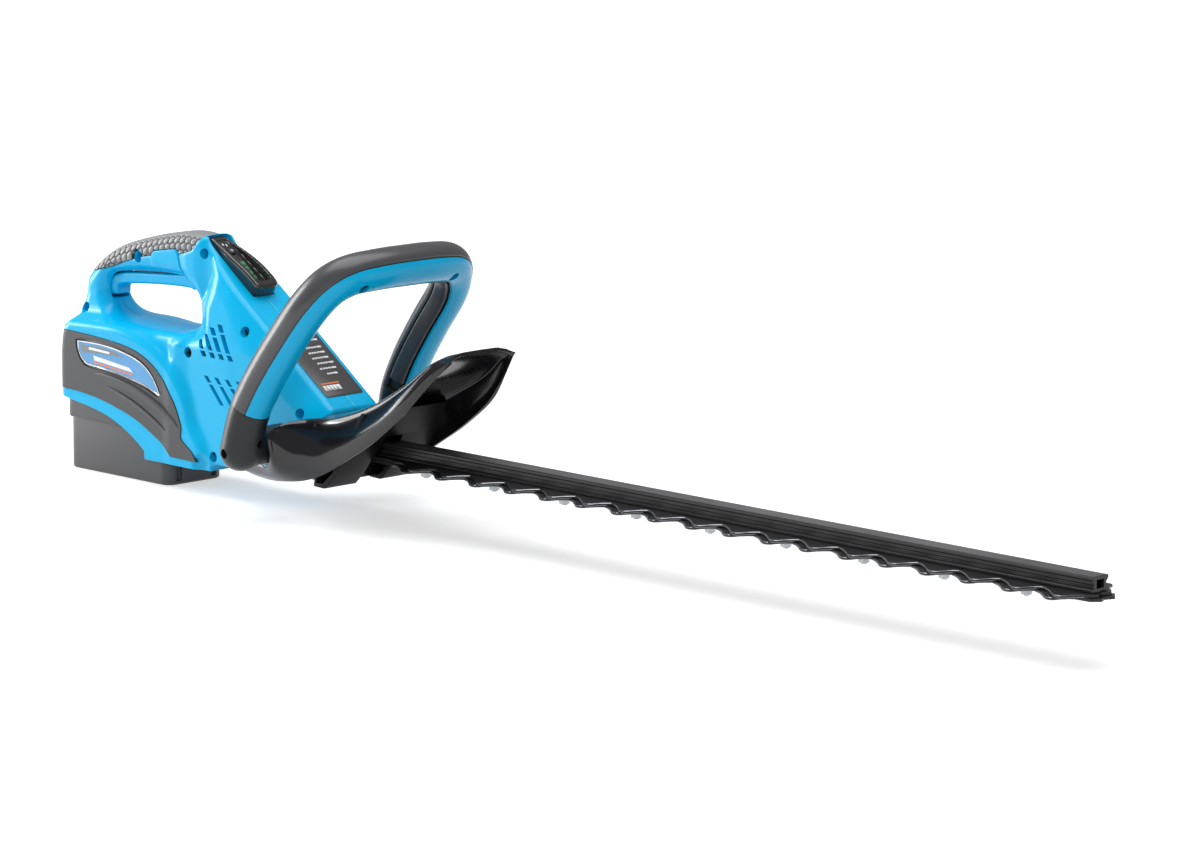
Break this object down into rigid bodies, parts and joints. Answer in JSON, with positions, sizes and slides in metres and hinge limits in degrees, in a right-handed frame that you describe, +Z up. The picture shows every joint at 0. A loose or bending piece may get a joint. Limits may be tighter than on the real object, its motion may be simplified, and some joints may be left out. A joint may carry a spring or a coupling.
{
  "type": "hedge trimmer",
  "caption": "Cordless hedge trimmer: battery body with rear grip and trigger, looped front handle with switch bar, hooded hand guard and double-sided reciprocating blades on a rail.",
  "frame": {"origin": "centre of the bounding box in X and Y, at the face the battery pack stands on", "axes": "+X towards the blade tip, +Y to the operator's left, +Z up"},
  "size_m": [0.996, 0.1828, 0.2038],
  "materials": {
    "blue_shell": "glossy moulded",
    "dark_panel": "satin moulded",
    "badge_film": "printed film under clear coat",
    "grip_rubber": "soft textured",
    "pack_plastic": "satin moulded",
    "gloss_black": "polished",
    "indicator": "clear tinted",
    "screw_steel": "zinc plated",
    "blade_steel": "blackened with ground edges",
    "rail_alloy": "black anodised extrusion",
    "gearbox_alloy": "die cast",
    "gear_steel": "machined",
    "bearing_steel": "polished",
    "motor_steel": "plated",
    "magnet": "sintered",
    "inner_plastic": "moulded",
    "board": "solder mask",
    "cell_wrap": "heat shrink",
    "contact_brass": "plated"
  },
  "bodies": {
    "trimmer": {"housing_right": "blue_shell", "housing_left": "blue_shell", "side_panel_right": "dark_panel", "side_panel_left": "dark_panel", "badge_right": "badge_film", "badge_left": "badge_film", "rear_grip_cover": "grip_rubber", "housing_screws": "screw_steel", "display_bezel": "gloss_black", "display_lights": "indicator", "display_board": "board", "rating_plate": "dark_panel", "trigger_switch": "inner_plastic", "trigger_spring": "screw_steel", "controller_board": "board", "terminal_block": "inner_plastic", "motor_can": "motor_steel", "motor_magnets": "magnet", "upper_bearing": "bearing_steel", "lower_bearing": "bearing_steel", "gearbox_base": "gearbox_alloy", "gearbox_cover": "gearbox_alloy", "rail": "rail_alloy", "rail_screws": "screw_steel", "blade_bolts": "screw_steel", "blade_nuts": "screw_steel", "handle_front_shell": "blue_shell", "handle_rear_shell": "grip_rubber", "handle_elbow_right": "dark_panel", "handle_elbow_left": "dark_panel", "handle_switch": "inner_plastic", "handle_screws": "screw_steel", "hand_guard": "gloss_black", "guard_screws": "screw_steel"},
    "trigger_lever": {"trigger": "blue_shell"},
    "front_switch_bar": {"switch_bar": "dark_panel"},
    "check_button": {"display_button": "gloss_black"},
    "gear_shaft": {"drive_gear": "gear_steel"},
    "motor_shaft": {"motor_rotor": "gear_steel", "pinion": "gear_steel", "fan": "inner_plastic"},
    "top_blade": {"upper_blade": "blade_steel"},
    "bottom_blade": {"lower_blade": "blade_steel"},
    "battery_pack": {"battery_case": "pack_plastic", "battery_lid": "pack_plastic", "battery_cells": "cell_wrap", "cell_holder": "inner_plastic", "battery_board": "board", "battery_contacts": "contact_brass", "latch_spring": "screw_steel"},
    "latch_button": {"battery_latch": "pack_plastic"}
  },
  "joints": [
    {"name": "trigger_squeeze", "type": "hinge", "parent": "trimmer", "child": "trigger_lever", "pos_m": [-0.372, 0, 0.162], "axis": [0, 1, 0], "range_deg": [0, 4.5], "stiffness_Nm_per_rad": 0.6, "springref_deg": -17.19, "deforming": ["trigger_spring"]},
    {"name": "front_bar_squeeze", "type": "hinge", "parent": "trimmer", "child": "front_switch_bar", "pos_m": [-0.2295, 0, 0.092], "axis": [0, 1, 0], "range_deg": [0, 1.1], "stiffness_Nm_per_rad": 6, "springref_deg": -5.73},
    {"name": "check_press", "type": "slide", "parent": "trimmer", "child": "check_button", "axis": [-0.5869, 0, -0.8097], "range_m": [0, 0.0008], "stiffness_N_per_m": 600, "springref_m": -0.0008},
    {"name": "gear_turn", "type": "hinge", "parent": "trimmer", "child": "gear_shaft", "pos_m": [-0.273, 0, 0.053], "axis": [0, 0, 1], "continuous": true},
    {"name": "motor_turn", "type": "hinge", "parent": "trimmer", "child": "motor_shaft", "pos_m": [-0.3006, 0, 0.09], "axis": [0, 0, 1], "continuous": true},
    {"name": "top_blade_stroke", "type": "slide", "parent": "trimmer", "child": "top_blade", "axis": [1, 0, 0], "range_m": [-0.0115, 0.0045]},
    {"name": "bottom_blade_stroke", "type": "slide", "parent": "trimmer", "child": "bottom_blade", "axis": [1, 0, 0], "range_m": [-0.0045, 0.0115]},
    {"name": "battery_slide", "type": "slide", "parent": "trimmer", "child": "battery_pack", "axis": [-1, 0, 0], "range_m": [0, 0.13]},
    {"name": "latch_press", "type": "slide", "parent": "battery_pack", "child": "latch_button", "axis": [0, 0, -1], "range_m": [0, 0.002], "stiffness_N_per_m": 800, "springref_m": -0.001, "deforming": ["latch_spring"]}
  ],
  "couplings": [
    {"joint": "motor_turn", "follows": "gear_turn", "ratio": -4},
    {"joint": "bottom_blade_stroke", "follows": "top_blade_stroke", "ratio": -1}
  ]
}
